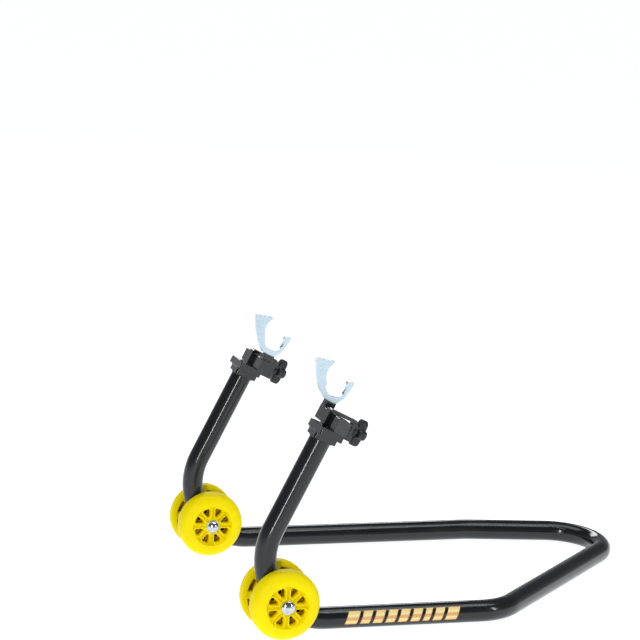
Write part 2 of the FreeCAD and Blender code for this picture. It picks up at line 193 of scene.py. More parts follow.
def finish_material(name, tones, tone_scale, rough, grain, grain_height, **extra):
    """Two tones and a roughness range mixed by a broad noise, with a fine grain as bump."""
    mat, tree, bsdf = shader(name)
    stretch = extra.get("stretch", (1.0, 1.0, 1.0))
    broad = noise_at(tree, tone_scale, 4.0, stretch)
    fine = noise_at(tree, grain, 3.0, stretch, (0.37, 0.11, 0.73))
    link(tree, two_tone(tree, broad, tones[0], tones[1]), bsdf.inputs["Base Color"])
    link(tree, spread(tree, broad, rough[0], rough[1]), bsdf.inputs["Roughness"])
    add_bump(tree, bsdf, fine, grain_height)
    bsdf.inputs["Metallic"].default_value = extra.get("metallic", 0.0)
    bsdf.inputs["Coat Weight"].default_value = extra.get("coat", 0.0)
    bsdf.inputs["Coat Roughness"].default_value = extra.get("coat_rough", 0.05)
    bsdf.inputs["Specular IOR Level"].default_value = extra.get("specular", 0.5)
    if "subsurface" in extra:
        bsdf.inputs["Subsurface Weight"].default_value = extra["subsurface"]
        bsdf.inputs["Subsurface Radius"].default_value = (1.0, 0.6, 0.1)
        bsdf.inputs["Subsurface Scale"].default_value = 0.002
    return mat


PAINT = finish_material(
    "gloss_black_paint", ((0.006, 0.0072, 0.009), (0.009, 0.0105, 0.013)), 14.0, (0.12, 0.20),
    700.0, 0.000012, coat=0.25, coat_rough=0.03, specular=0.38,
)
SATIN = finish_material(
    "satin_black_paint", ((0.0045, 0.005, 0.0065), (0.007, 0.0075, 0.009)), 60.0, (0.11, 0.18),
    1100.0, 0.000015, coat=0.5, coat_rough=0.03, specular=0.42,
)
YELLOW = finish_material(
    "yellow_nylon", ((0.90, 0.72, 0.0), (0.94, 0.775, 0.0)), 25.0, (0.34, 0.44),
    1500.0, 0.00002, subsurface=0.04, specular=0.10,
)
CHROME = finish_material(
    "polished_chrome", ((0.50, 0.52, 0.55), (0.62, 0.64, 0.67)), 120.0, (0.06, 0.14),
    900.0, 0.00001, metallic=1.0,
)
ZINC = finish_material(
    "zinc_plate", ((0.55, 0.56, 0.58), (0.72, 0.73, 0.74)), 220.0, (0.25, 0.42),
    1800.0, 0.00002, metallic=1.0,
)
BUSH = finish_material(
    "turned_steel", ((0.42, 0.42, 0.44), (0.58, 0.58, 0.60)), 300.0, (0.28, 0.45),
    2500.0, 0.00002, metallic=1.0,
)
HOOK = finish_material(
    "bright_plate", ((0.50, 0.62, 0.70), (0.60, 0.71, 0.78)), 90.0, (0.22, 0.34),
    1400.0, 0.00002, metallic=1.0, stretch=(1.0, 1.0, 6.0),
)
KNOB = finish_material(
    "knob_plastic", ((0.010, 0.010, 0.011), (0.018, 0.018, 0.019)), 80.0, (0.34, 0.48),
    2200.0, 0.00005,
)
PLUG = finish_material(
    "plug_plastic", ((0.040, 0.042, 0.045), (0.052, 0.053, 0.056)), 150.0, (0.42, 0.55),
    2200.0, 0.00005,
)


def math_node(tree, kind, a, b):
    node = tree.nodes.new("ShaderNodeMath")
    node.operation = kind
    for socket, value in zip(node.inputs, (a, b)):
        if isinstance(value, (int, float)):
            socket.default_value = value
        else:
            link(tree, value, socket)
    return node.outputs["Value"]


def paint_recess_shade(mat, tone):
    """Painted shade: a darker, browner colour inside a wheel's pockets and cup, by depth from the nearer
    face.
    """
    tree = mat.node_tree
    bsdf = [n for n in tree.nodes if n.type == "BSDF_PRINCIPLED"][0]
    plain = bsdf.inputs["Base Color"].links[0].from_socket
    coord = tree.nodes.new("ShaderNodeTexCoord")
    parts = tree.nodes.new("ShaderNodeSeparateXYZ")
    link(tree, coord.outputs["Generated"], parts.inputs["Vector"])
    x = math_node(tree, "SUBTRACT", parts.outputs["X"], 0.5)
    z = math_node(tree, "SUBTRACT", parts.outputs["Z"], 0.5)
    x_squared = math_node(tree, "POWER", x, 2.0)
    z_squared = math_node(tree, "POWER", z, 2.0)
    edge = PAINTED_SHADE_R / (2 * WHEEL_R)
    inside = math_node(tree, "LESS_THAN", math_node(tree, "ADD", x_squared, z_squared), edge * edge)
    other = math_node(tree, "SUBTRACT", 1.0, parts.outputs["Y"])
    depth = math_node(tree, "MINIMUM", parts.outputs["Y"], other)
    shade_amount = spread(tree, depth, 0.0, 1.0, PAINTED_SHADE_DEPTH[0] / WHEEL_W, PAINTED_SHADE_DEPTH[1] / WHEEL_W)
    mix = tree.nodes.new("ShaderNodeMix")
    mix.data_type = "RGBA"
    link(tree, math_node(tree, "MULTIPLY", shade_amount, inside), mix.inputs["Factor"])
    link(tree, plain, mix.inputs["A"])
    mix.inputs["B"].default_value = (*tone, 1.0)
    link(tree, mix.outputs["Result"], bsdf.inputs["Base Color"])


# Painted shade: the wheels' pockets and cup turn brown-orange with depth.
paint_recess_shade(YELLOW, (0.40, 0.185, 0.002))


def decal_with_painted_bands(name, low_z, high_z, painted_band_stops):
    """Colours that change with height between low_z and high_z, in metres: bands round the rail painted
    as reflection and shade over the print colour.
    """
    mat, tree, bsdf = shader(name)
    coord = tree.nodes.new("ShaderNodeTexCoord")
    parts = tree.nodes.new("ShaderNodeSeparateXYZ")
    link(tree, coord.outputs["Object"], parts.inputs["Vector"])
    height = spread(tree, parts.outputs["Z"], 0.0, 1.0, low_z, high_z)
    ramp = tree.nodes.new("ShaderNodeValToRGB")
    while len(ramp.color_ramp.elements) < len(painted_band_stops):
        ramp.color_ramp.elements.new(0.5)
    for element, (position, colour) in zip(ramp.color_ramp.elements, painted_band_stops):
        element.position = position
        element.color = (*colour, 1.0)
    link(tree, height, ramp.inputs["Fac"])
    link(tree, ramp.outputs["Color"], bsdf.inputs["Base Color"])
    grain = noise_at(tree, 900.0, 2.0)
    link(tree, spread(tree, grain, 0.25, 0.4), bsdf.inputs["Roughness"])
    add_bump(tree, bsdf, grain, 0.00001)
    bsdf.inputs["Coat Weight"].default_value = 0.3
    return mat


# ---------------------------------------------------------------- mesh helpers
def mesh_object(name, verts, faces, material, sharp=35.0):
    mesh = bpy.data.meshes.new(name)
    mesh.from_pydata([place(v) for v in verts], [], faces)
    mesh.validate()
    work = bmesh.new()
    work.from_mesh(mesh)
    bmesh.ops.remove_doubles(work, verts=work.verts, dist=MERGE * MM)
    bmesh.ops.recalc_face_normals(work, faces=work.faces)
    work.to_mesh(mesh)
    work.free()
    mesh.shade_smooth()
    mesh.set_sharp_from_angle(angle=math.radians(sharp))
    obj = bpy.data.objects.new(name, mesh)
    bpy.context.scene.collection.objects.link(obj)
    mesh.materials.append(material)
    return obj


def add_bevel(obj, width, segments=2, angle=40.0):
    """Rounds the edges that turn by more than angle; the mesh itself is not changed."""
    mod = obj.modifiers.new("edge_round", "BEVEL")
    mod.width = width * MM
    mod.segments = segments
    mod.limit_method = "ANGLE"
    mod.angle_limit = math.radians(angle)
    mod.use_clamp_overlap = True
    mod.harden_normals = True


def commit(obj, body, slot_name, *nodes):
    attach(obj, body)
    if nodes:
        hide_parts(*nodes)


def join(verts, faces, more, more_faces):
    """Adds one set of points and faces to another."""
    start = len(verts)
    verts += more
    faces += [tuple(start + i for i in face) for face in more_faces]


def rings_to_mesh(rings, closed_path=False, cap=True):
    """Joins rings of equal point count into a tube of quads."""
    count = len(rings[0])
    verts = [p for ring in rings for p in ring]
    faces = []
    last = len(rings) if closed_path else len(rings) - 1
    for i in range(last):
        a = i * count
        b = ((i + 1) % len(rings)) * count
        for k in range(count):
            m = (k + 1) % count
            faces.append((a + k, a + m, b + m, b + k))
    if cap and not closed_path:
        faces.append(tuple(range(count))[::-1])
        end = (len(rings) - 1) * count
        faces.append(tuple(range(end, end + count)))
    return verts, faces


def ring_frames(path, closed=False):
    """Point, side and up vectors along a path, carried along without twisting."""
    points = [Vector(p) for p in path]
    frames = []
    side = None
    for i, p in enumerate(points):
        if closed:
            ahead = points[(i + 1) % len(points)] - points[i - 1]
        else:
            ahead = points[min(i + 1, len(points) - 1)] - points[max(i - 1, 0)]
        ahead.normalize()
        if side is None:
            guess = Vector((0, 0, 1)) if abs(ahead.z) < 0.9 else Vector((0, 1, 0))
            side = guess.cross(ahead).normalized()
        else:
            side = (side - ahead * side.dot(ahead)).normalized()
        frames.append((p, side, ahead.cross(side).normalized()))
    return frames


def sweep(path, radius, sides, closed=False, cap=True):
    """radius is a number or a function of (index, angle)."""
    rings = []
    for i, (p, side, up) in enumerate(ring_frames(path, closed)):
        ring = []
        for k in range(sides):
            a = 2 * math.pi * k / sides
            r = radius(i, a) if callable(radius) else radius
            ring.append(tuple(p + side * (r * math.cos(a)) + up * (r * math.sin(a))))
        rings.append(ring)
    return rings_to_mesh(rings, closed, cap)


def arc_points(cx, cz, radius, a0, a1, steps):
    out = []
    for i in range(steps + 1):
        a = a0 + (a1 - a0) * i / steps
        out.append((cx + radius * math.cos(a), cz + radius * math.sin(a)))
    return out


def corner_arc(before, corner, after, radius, steps=0):
    """Arc that rounds a corner between two neighbouring points; by its length where steps is 0."""
    p = Vector(corner)
    back = (Vector(before) - p).normalized()
    on = (Vector(after) - p).normalized()
    half = back.angle(on) / 2
    cut = radius / math.tan(half)
    start = p + back * cut
    end = p + on * cut
    centre = p + (back + on).normalized() * (radius / math.sin(half))
    a0 = math.atan2(start.y - centre.y, start.x - centre.x)
    a1 = math.atan2(end.y - centre.y, end.x - centre.x)
    while a1 - a0 > math.pi:
        a1 -= 2 * math.pi
    while a1 - a0 < -math.pi:
        a1 += 2 * math.pi
    steps = steps or max(8, int(abs(a1 - a0) * radius / ARC_STEP))
    return arc_points(centre.x, centre.y, radius, a0, a1, steps)


def rounded(points, radii, steps=6):
    """Closed 2D outline with rounded corners; radii is one number or one per point."""
    out = []
    count = len(points)
    for i in range(count):
        radius = radii[i] if isinstance(radii, (list, tuple)) else radii
        if radius <= 0:
            out.append(points[i])
            continue
        out += corner_arc(points[i - 1], points[i], points[(i + 1) % count], radius, steps)
    return out


def prism(outline, y0, y1, lift=None):
    """Closed outline in X-Z (or n-t through lift) drawn out along Y."""
    lift = lift or (lambda a, y, b: (a, y, b))
    low = [lift(a, y0, b) for a, b in outline]
    high = [lift(a, y1, b) for a, b in outline]
    return rings_to_mesh([low, high])


# ---------------------------------------------------------------- frame tube
def straight_run(start, end):
    """Evenly spaced points after start, up to and with end."""
    start = Vector(start)
    end = Vector(end)
    runs = max(1, int((end - start).length / PATH_STEP))
    return [tuple(start.lerp(end, k / runs)) for k in range(1, runs + 1)]


def flat_path(points, radii):
    """Plan view route of the floor hoop with rounded corners, (x, y) pairs."""
    out = [points[0]]
    for i in range(1, len(points) - 1):
        arc = corner_arc(points[i - 1], points[i], points[i + 1], radii[i - 1])
        out += straight_run(out[-1], arc[0])[:-1]
        out += arc
    return out + straight_run(out[-1], points[-1])


def rail_height(x):
    return BEND[1] - BEND_R * math.cos(TILT) - (x - BEND[0]) * math.tan(TILT)


def arm_path():
    """Upright in X-Z from the arm's top down to where it meets the floor hoop."""
    runs, steps = 8, 40
    first = -math.pi / 2 - TILT
    last = first - (math.pi / 2 + LEAN - TILT)
    bend = arc_points(BEND[0], BEND[1], BEND_R, last, first, steps)
    end_x, end_z = bend[0]
    out = []
    for k in range(runs + 1):
        reach = ARM_STRAIGHT * (1 - k / runs)
        out.append((end_x + math.sin(LEAN) * reach, end_z + math.cos(LEAN) * reach))
    return out + bend[1:]


def tube_route():
    left = [(x, -ARM_Y, z) for x, z in arm_path()]
    plan = [(JOIN_X, -ARM_Y)] + [c[0] for c in CORNERS] + [(JOIN_X, ARM_Y)]
    floor = [(x, y, rail_height(x)) for x, y in flat_path(plan, [c[1] for c in CORNERS])]
    right = [(x, ARM_Y, z) for x, z in reversed(arm_path())]
    return left + floor + right


def build_tube():
    """Both arms and the floor hoop as one continuous tube."""
    verts, faces = sweep(tube_route(), TUBE_R, 64)
    obj = mesh_object("frame_tube", verts, faces, PAINT, 50.0)
    commit(obj, "frame", "frame_paint", "hoop_tube", "upright_left", "upright_right")


# ---------------------------------------------------------------- wheels
def smooth(a, b, x):
    t = min(1.0, max(0.0, (x - a) / (b - a)))
    return t * t * (3 - 2 * t)


def pocket_outline():
    """Rounded wedge between two spokes about +X: a point and its normal's angle, all round."""
    alpha = math.pi / SPOKES
    big, small = POCKET_CORNER, POCKET_TIP
    c1_r = POCKET_OUT - big
    c1_a = alpha - math.asin((SPOKE_HALF + big) / c1_r)
    c2_r = POCKET_IN + small
    c2_a = alpha - math.asin((SPOKE_HALF + small) / c2_r)
    c1 = Vector((c1_r * math.cos(c1_a), c1_r * math.sin(c1_a)))
    c2 = Vector((c2_r * math.cos(c2_a), c2_r * math.sin(c2_a)))
    turn = alpha + math.pi / 2
    half = []
    for k in range(12):
        a = c1_a * k / 12
        half.append((Vector((math.cos(a), math.sin(a))) * POCKET_OUT, a))
    for k in range(25):
        a = c1_a + (turn - c1_a) * k / 24
        half.append((c1 + Vector((math.cos(a), math.sin(a))) * big, a))
    side0 = half[-1][0]
    side1 = c2 + Vector((math.cos(turn), math.sin(turn))) * small
    for k in range(1, 20):
        half.append((side0.lerp(side1, k / 20), turn))
    end = math.pi + c2_a
    for k in range(17):
        a = turn + (end - turn) * k / 16
        half.append((c2 + Vector((math.cos(a), math.sin(a))) * small, a))
    for k in range(1, 6):
        a = c2_a * (1 - k / 5)
        half.append((Vector((math.cos(a), math.sin(a))) * POCKET_IN, math.pi + a))
    full = list(half)
    for p, a in reversed(half[1:-1]):
        full.append((Vector((p.x, -p.y)), -a))
    return full


POCKET = pocket_outline()
POCKET_MID = Vector((22.5, 0.0))    # the pocket's middle, which its rings spread from


def pocket_hit(direction):
    """Point and outward normal where a ray from the pocket's middle meets its outline."""
    count = len(POCKET)
    for i in range(count):
        p, na = POCKET[i]
        q, nb = POCKET[(i + 1) % count]
        a = p - POCKET_MID
        b = q - POCKET_MID
        cross_a = direction.x * a.y - direction.y * a.x
        cross_b = direction.x * b.y - direction.y * b.x
        if cross_a <= 0 < cross_b or cross_a < 0 <= cross_b:
            f = cross_a / (cross_a - cross_b)
            hit = p.lerp(q, f)
            if (hit - POCKET_MID).dot(direction) > 0:
                turn_a = Vector((math.cos(na), math.sin(na)))
                turn_b = Vector((math.cos(nb), math.sin(nb)))
                return hit, turn_a.lerp(turn_b, f).normalized()
    raise ValueError("no outline point in that direction")


def sector_rim():
    """Points round one sector's edge: outer arc, radial side, bore arc, radial side."""
    alpha = math.pi / SPOKES
    outer_n, side_n, inner_n = 24, 18, 8
    out = []
    for k in range(outer_n):
        a = -alpha + 2 * alpha * k / outer_n
        out.append(("outer", SPIDER_R, a))
    for k in range(side_n):
        f = k / side_n
        out.append(("side", SPIDER_R + (BORE_R - SPIDER_R) * f, alpha))
    for k in range(inner_n):
        a = alpha - 2 * alpha * k / inner_n
        out.append(("inner", BORE_R, a))
    for k in range(side_n):
        f = k / side_n
        out.append(("side", BORE_R + (SPIDER_R - BORE_R) * f, -alpha))
    return out


RIM = sector_rim()


def front_height(r, away):
    """Front face of the spider: ribs round each pocket, valleys along the spokes, hub and band."""
    rib = SPOKE_FRONT - (SPOKE_FRONT - VALLEY) * smooth(*RIB_EDGE, away)
    rib -= LIP * (1 - smooth(0.0, LIP_WIDTH, away))
    band = VALLEY + (SPIDER_TOP - VALLEY) * smooth(*BAND_RISE, r)
    boss = SPOKE_FRONT - (SPOKE_FRONT - VALLEY) * smooth(*BOSS_EDGE, r)
    return max(rib, band, boss)


def back_height(r):
    return DISC_BACK * smooth(*BACK_BOSS_EDGE, r)


def wheel_rings():
    """One sector's loops of (x, z, y), from the pocket wall outwards, front then back."""
    aways = [0.0, 0.2, 0.45, 0.7, 1.15, 1.45, 1.75, 2.0, 2.3]
    fills = [0.12, 0.3, 0.5, 0.75, 1.0]
    back_fills = [0.0, 0.04, 0.10, 0.3, 0.5, 0.7, 0.85, 1.0]
    room = 0.85    # share of the way to the sector's edge that the rib may take
    base = []
    for kind, r, a in RIM:
        goal = Vector((r * math.cos(a), r * math.sin(a)))
        hit, normal = pocket_hit((goal - POCKET_MID).normalized())
        base.append((goal, hit, normal))
    front = []
    back = []
    narrow = 1.0 - (SPOKE_FRONT - DISC_BACK) * POCKET_TAPER
    for away in aways:
        loop = []
        for goal, hit, normal in base:
            step = min(away, (goal - hit).length * room * away / aways[-1])
            p = hit + normal * step
            loop.append((p.x, front_height(p.length, step), p.y))
        front.append(loop)
    for f in fills:
        loop = []
        for goal, hit, normal in base:
            start = hit + normal * min(aways[-1], (goal - hit).length * room)
            p = start.lerp(goal, f)
            loop.append((p.x, front_height(p.length, (p - hit).length), p.y))
        front.append(loop)
    for f in back_fills:
        loop = []
        for goal, hit, normal in base:
            edge = POCKET_MID + (hit - POCKET_MID) * narrow
            p = edge.lerp(goal, f)
            lip = LIP * (1 - smooth(0.0, LIP_WIDTH, (p - edge).length))
            loop.append((p.x, back_height(p.length) + lip, p.y))
        back.append(loop)
    return front, back


def turn_y(p, angle):
    c, s = math.cos(angle), math.sin(angle)
    return (p[0] * c - p[2] * s, p[1], p[0] * s + p[2] * c)


def wheel_shell():
    """Band, tread and cup, drawn round from the spider's front edge to its back edge: (r, y)."""
    steps = 16
    profile = [(SPIDER_R, SPIDER_TOP), (33.0, 23.97)]
    depth = WHEEL_W - TREAD_FLAT
    reach = WHEEL_R - BAND_R
    for i in range(steps + 1):
        a = math.pi / 2 * (1 - i / steps)
        profile.append((BAND_R + reach * math.cos(a), TREAD_FLAT + depth * math.sin(a)))
    profile += [(WHEEL_R, 5.0), (WHEEL_R, 1.0), (49.7, 0.3), (49.0, 0.0), (45.0, 0.0), (42.0, 0.0)]
    profile += [(41.3, 0.3), (CUP_R, 1.0), (CUP_R, 12.0), (40.5, 13.4), (37.0, 17.6), (36.0, 18.3)]
    profile += [(35.0, CUP_TOP), (33.4, 18.4), (32.7, 17.8), (WALL_R, 17.0), (WALL_R, 3.0), (32.2, 2.2)]
    profile += [(SPIDER_R, DISC_BACK)]
    return profile


def gusset():
    """Rear web between the inner wall and the tread ring, with rounded edges."""
    half, middle = 5.5, 5.0
    corners = [(31.8, 1.4), (41.6, 1.4), (41.6, 11.5), (34.5, 17.4), (31.8, 17.4)]
    outline = rounded(corners, [0.8, 0.0, 0.0, 2.0, 0.0], 4)
    stations = [(-half, 0.9), (-half + 0.35, 0.3), (-half + 1.0, 0.0)]
    stations += [(-across, inset) for across, inset in reversed(stations)]
    rings = []
    for across, inset in stations:
        rings.append([(r, y + (inset if y < middle else -inset), across) for r, y in outline])
    return rings_to_mesh(rings)


def sector_angles(kind_wanted):
    """Angles of the points on all sectors' outer or inner arcs, in order round the wheel."""
    angles = []
    for s in range(SPOKES):
        turn = 2 * math.pi * (s + 0.5) / SPOKES
        angles += sorted(turn + a for kind, r, a in RIM if kind == kind_wanted)
    return angles


def spider_sector():
    """Skin of one sector with its pocket, from the back face through the wall to the front face."""
    front, back = wheel_rings()
    wall = []
    for f in (0.25, 0.5, 0.75):
        wall.append([(a[0], a[1] + (b[1] - a[1]) * f, a[2]) for a, b in zip(back[0], front[0])])
    return rings_to_mesh(list(reversed(back)) + wall + front, cap=False)


def turned_rings(profile, angles):
    rings = []
    for r, y in profile:
        rings.append([(r * math.cos(a), y, r * math.sin(a)) for a in angles])
    return rings_to_mesh(rings, cap=False)


def wheel_mesh():
    verts = []
    faces = []
    sector, sector_faces = spider_sector()
    web, web_faces = gusset()
    for s in range(SPOKES):
        turn = 2 * math.pi / SPOKES
        join(verts, faces, [turn_y(p, turn * (s + 0.5)) for p in sector], sector_faces)
        join(verts, faces, [turn_y(p, turn * s) for p in web], web_faces)
    join(verts, faces, *turned_rings(wheel_shell(), sector_angles("outer")))
    join(verts, faces, *turned_rings([(BORE_R, SPOKE_FRONT), (BORE_R, 0.0)], sector_angles("inner")))
    return verts, faces


def build_wheels():
    verts, faces = wheel_mesh()
    for side, sign in SIDES.items():
        for where, facing in (("outer", sign), ("inner", -sign)):
            y0 = sign * ARM_Y + facing * WHEEL_BACK
            moved = [(x if facing > 0 else -x, y0 + facing * y, AXLE_Z + z) for x, y, z in verts]
            name = side + "_" + where
            obj = mesh_object("wheel_body_" + name, moved, faces, YELLOW, 42.0)
            commit(obj, "wheel_" + name, "wheel_yellow", "wheel_" + name)


# ---------------------------------------------------------------- axle hardware
def lathe_y(profile, segments, sign, y0):
    """profile of (r, y) about the axle, y counted outwards from y0 on that side."""
    rings = []
    for r, y in profile:
        ring = []
        for k in range(segments):
            a = 2 * math.pi * k / segments
            ring.append((r * math.cos(a), y0 + sign * y, AXLE_Z + r * math.sin(a)))
        rings.append(ring)
    return rings_to_mesh(rings)


def dome_profile(radius, rim, height, steps=14):
    """Low ball cap on a short rim with softened edges: (r, y)."""
    cap = height - rim
    ball = (radius * radius + cap * cap) / (2 * cap)
    out = [(radius - 0.35, 0.0), (radius, 0.3), (radius, rim - 0.25)]
    top = math.asin(radius / ball)
    for i in range(steps):
        a = top * (1 - i / steps)
        out.append((ball * math.sin(a) - (0.12 if i == 0 else 0.0), height - ball + ball * math.cos(a)))
    out.append((0.05, height))
    return out


def build_axles():
    for side, sign in SIDES.items():
        y0 = sign * ARM_Y
        end = -STACK - NUT_REACH
        shank = [(AXLE_R - 0.8, end), (AXLE_R, end + 0.8), (AXLE_R, STACK)]
        dome = dome_profile(AXLE_HEAD_R, AXLE_HEAD_RIM, AXLE_HEAD_H)
        head_part = [(r, STACK + y) for r, y in dome]
        verts, faces = lathe_y(shank + head_part, 64, sign, y0)
        obj = mesh_object("axle_bolt_round_" + side, verts, faces, CHROME, 40.0)
        commit(obj, "frame", "chrome_hardware", "axle_bolt_" + side)


# ---------------------------------------------------------------- hook, knob, stud
def three_point_arc(a, b, c, steps):
    """Points from a to c through b in the plane."""
    (ax, ay), (bx, by), (cx, cy) = a, b, c
    d = 2 * (ax * (by - cy) + bx * (cy - ay) + cx * (ay - by))
    a2, b2, c2 = ax * ax + ay * ay, bx * bx + by * by, cx * cx + cy * cy
    ux = (a2 * (by - cy) + b2 * (cy - ay) + c2 * (ay - by)) / d
    uy = (a2 * (cx - bx) + b2 * (ax - cx) + c2 * (bx - ax)) / d
    radius = math.hypot(ax - ux, ay - uy)
    t0 = math.atan2(ay - uy, ax - ux)
    tm = (math.atan2(by - uy, bx - ux) - t0) % (2 * math.pi)
    t1 = (math.atan2(cy - uy, cx - ux) - t0) % (2 * math.pi)
    if tm > t1:
        t1 -= 2 * math.pi
    return arc_points(ux, uy, radius, t0, t0 + t1, steps)


def hook_outline():
    """Tall front tine with a beak, round seat, short rear tine, and a foot on the post."""
    low_rear = head(14.0, 0, POST_TOP)
    low_front = head(-6.0, 0, POST_TOP)
    out = [(46.9, 385.4), (47.6, 385.83)]
    out += three_point_arc((72.6, 381.6), (75.4, 379.4), (73.6, 377.0), 8)
    out += three_point_arc((73.6, 377.0), (64.2, 363.5), (65.3, 349.5), 16)[1:]
    out += three_point_arc((65.3, 349.5), (80.0, 329.1), (94.8, 346.6), 34)[1:]
    out += [(95.9, 349.6), (96.7, 350.5), (97.9, 350.75)]
    out += [(102.6, 350.9), (104.1, 350.5), (105.0, 349.4), (105.9, 346.9), (105.7, 345.9)]
    out += [(98.7, 335.6), (91.4, 325.2), (low_rear[0], low_rear[2]), (low_front[0], low_front[2])]
    out += [(54.1, 342.0), (51.7, 352.0), (49.2, 362.0), (47.9, 374.0)]
    return out


def build_hooks():
    outline = hook_outline()
    for side, sign in SIDES.items():
        y = sign * HOOK_Y
        verts, faces = prism(outline, y - HOOK_T / 2, y + HOOK_T / 2)
        obj = mesh_object("hook_" + side, verts, faces, HOOK, 30.0)
        add_bevel(obj, 0.7, 3, 35.0)
        tang = [(0.0, 48.8), (12.0, 48.8), (12.0, 57.6), (0.0, 57.6)]
        verts, faces = prism(tang, y - HOOK_T / 2, y + HOOK_T / 2, head)
        foot = mesh_object("hook_tang_" + side, verts, faces, HOOK, 30.0)
        commit(obj, "carriage_" + side, "hook_steel", "hook_plate_" + side)
        commit(foot, "carriage_" + side, "hook_steel")


def knob_radius(angle):
    """Four-lobed grip outline."""
    reach, lobe = 13.0, 7.0
    a = abs((angle + math.pi / 4) % (math.pi / 2) - math.pi / 4)
    side_r = lobe / max(math.sin(a), 0.001)
    under = lobe * lobe - (reach * math.sin(a)) ** 2
    end_r = reach * math.cos(a) + math.sqrt(under) if under > 0 else 0.0
    if end_r > 0 and side_r * math.cos(a) > reach:
        return end_r
    return side_r


def knob_loop(count):
    """The grip's radii all round, with the hollows between its lobes smoothed."""
    passes = 6
    raw = [knob_radius(2 * math.pi * k / count) for k in range(count)]
    for _ in range(passes):
        raw = [(raw[k - 1] + 2 * raw[k] + raw[(k + 1) % count]) / 4 for k in range(count)]
    return raw


def ring_n(n, y, radii):
    """Ring about the knob's axis with its own radius at each angle."""
    ring = []
    for k, r in enumerate(radii):
        a = 2 * math.pi * k / len(radii)
        ring.append(head(n, y + r * math.sin(a), KNOB_T + r * math.cos(a)))
    return ring


def build_knobs():
    """Round neck, lobed grip with softened edges, and a dished round face."""
    count, inset = 160, 1.2
    loop = knob_loop(count)
    neck = [(0.0, 7.4), (0.0, 7.9), (0.5, 8.2), (3.6, 9.4)]
    grip = [(4.0, 0.35), (4.15, 0.82), (4.6, 0.93), (5.4, 0.985), (6.8, 1.0), (12.6, 1.0), (14.2, 0.975)]
    grip += [(15.3, 0.93), (16.0, 0.86), (16.2, 0.78)]
    dish = [(16.2, 7.6), (15.6, 7.0), (15.4, 6.2), (15.6, 3.0), (15.7, 0.05)]
    stations = [(along, [r] * count) for along, r in neck]
    for along, grow in grip:
        radii = [KNOB_HUB + (reach - KNOB_HUB) * grow - (1.0 - grow) * inset for reach in loop]
        stations.append((along, radii))
    stations += [(along, [r] * count) for along, r in dish]
    for side, sign in SIDES.items():
        rings = [ring_n(KNOB_N0 + along, sign * KNOB_Y, radii) for along, radii in stations]
        verts, faces = rings_to_mesh(rings)
        obj = mesh_object("knob_" + side, verts, faces, KNOB, 50.0)
        commit(obj, "knob_" + side, "knob_plastic", "clamp_knob_" + side)


def build_studs():
    """Threaded rods with a chamfered tip."""
    pitch, outer, inner = 1.25, 4.0, 3.4
    n0, n1, count, steps = 18.3, 48.9, 32, 8
    tip_r, tip_slope = 3.4, 2.0
    rows = int((n1 - n0) / pitch * steps)
    stations = []
    for i in range(rows + 1):
        along = (n1 - n0) * i / rows
        phases = [(along / pitch - k / count) % 1.0 for k in range(count)]
        radii = [inner + (outer - inner) * abs(2 * phase - 1) for phase in phases]
        stations.append((n0 + along, [min(r, tip_r + tip_slope * along) for r in radii]))
    for side, sign in SIDES.items():
        verts, faces = rings_to_mesh([ring_n(n, sign * KNOB_Y, radii) for n, radii in stations])
        obj = mesh_object("stud_thread_" + side, verts, faces, ZINC, 60.0)
        commit(obj, "knob_" + side, "zinc_washer", "knob_stud_" + side)


# ---------------------------------------------------------------- welds
def weld(name, path, radius, body, closed=False):
    """Rippled bead along a path of closely spaced points."""
    step, sides = 0.55, 12
    dense = [Vector(p) for p in path]
    if closed:
        dense.append(Vector(path[0]))
    beads = []
    carried = 0.0
    for a, b in zip(dense, dense[1:]):
        length = (b - a).length
        while carried < length:
            beads.append(tuple(a.lerp(b, carried / length)))
            carried += step
        carried -= length
    verts, faces = sweep(beads, lambda i, a: radius * (0.9 + 0.13 * math.sin(i * 1.7)), sides, closed)
    obj = mesh_object(name, verts, faces, PAINT, 70.0)
    commit(obj, body, "frame_paint")


def circle_head(radius, y, t, steps=72):
    """Circle across the arm at height t."""
    out = []
    for k in range(steps):
        a = 2 * math.pi * k / steps
        out.append(head(radius * math.cos(a), y + radius * math.sin(a), t))
    return out


def box_head(n0, n1, y, half, t, corner):
    """Rounded rectangle across the arm at height t."""
    outline = rounded([(n0, y - half), (n1, y - half), (n1, y + half), (n0, y + half)], corner, 6)
    return [head(a, b, t) for a, b in outline]


def sleeve_seam(sign, outward, steps=72):
    """Where the axle sleeve leaves the tube's wall."""
    seam_r = 11.3
    normal = math.atan2(AXLE_Z - BEND[1], -BEND[0])
    out = []
    for k in range(steps):
        a = 2 * math.pi * k / steps
        across = seam_r * math.cos(a - normal)
        depth = math.sqrt(TUBE_R * TUBE_R - across * across)
        out.append((seam_r * math.cos(a), sign * ARM_Y + outward * depth, AXLE_Z + seam_r * math.sin(a)))
    return out


def build_welds():
    strap_seams = (("front", -7.6, BASE_TOP), ("rear", BASE_HALF, BASE_TOP), ("low", BASE_HALF, 20.9))
    strap_y = (181.6, 194.4)
    for side, sign in SIDES.items():
        y = sign * ARM_Y
        weld("weld_arm_" + side, circle_head(16.0, y, 7.6), 1.7, "frame", True)
        seam = box_head(-PLATE_HALF, PLATE_HALF, y, PLATE_HALF, 16.2, 4.0)
        weld("weld_plate_" + side, seam, 1.1, "frame", True)
        for tag, n, t in strap_seams:
            seam = [head(n, sign * strap_y[0], t), head(n, sign * strap_y[1], t)]
            weld("weld_strap_" + tag + "_" + side, seam, 1.2, "frame")
        seam = box_head(*POST, sign * HOOK_Y, 7.1, 47.5, 1.5)
        weld("weld_post_" + side, seam, 1.1, "carriage_" + side, True)
        for outward in (-1, 1):
            tag = "out" if outward == sign else "in"
            weld("weld_sleeve_" + tag + "_" + side, sleeve_seam(sign, outward), 1.1, "frame", True)


